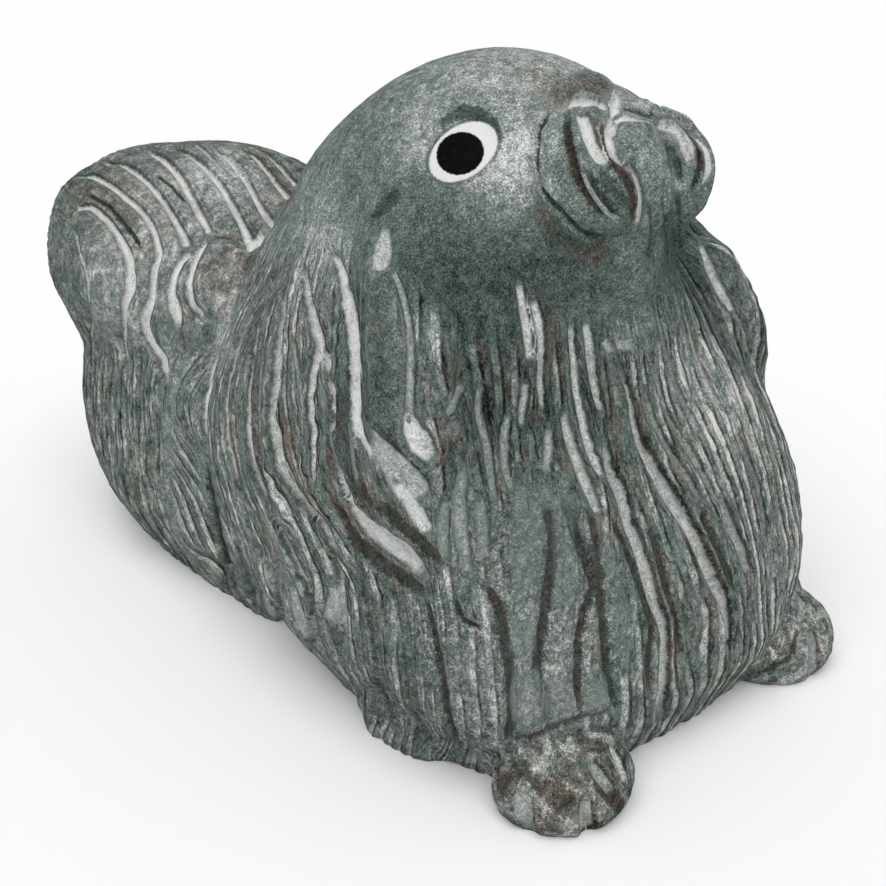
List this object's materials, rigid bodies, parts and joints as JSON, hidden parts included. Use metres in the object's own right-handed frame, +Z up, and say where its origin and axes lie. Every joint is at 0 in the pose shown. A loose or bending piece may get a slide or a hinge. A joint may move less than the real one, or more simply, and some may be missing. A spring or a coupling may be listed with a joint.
{
  "type": "concrete dog figurine",
  "caption": "Cast concrete figurine of a long-coated dog lying down, head raised, with a plumed tail curled forward over its back.",
  "frame": {"origin": "on the flat underside, under the middle of the figure's length", "axes": "-Y the way the dog faces, +X the dog's own left, +Z up"},
  "size_m": [0.0976, 0.1703, 0.1135],
  "materials": {
    "concrete": "matt patinated cast concrete"
  },
  "bodies": {
    "root": {"dog": "concrete"}
  },
  "joints": []
}
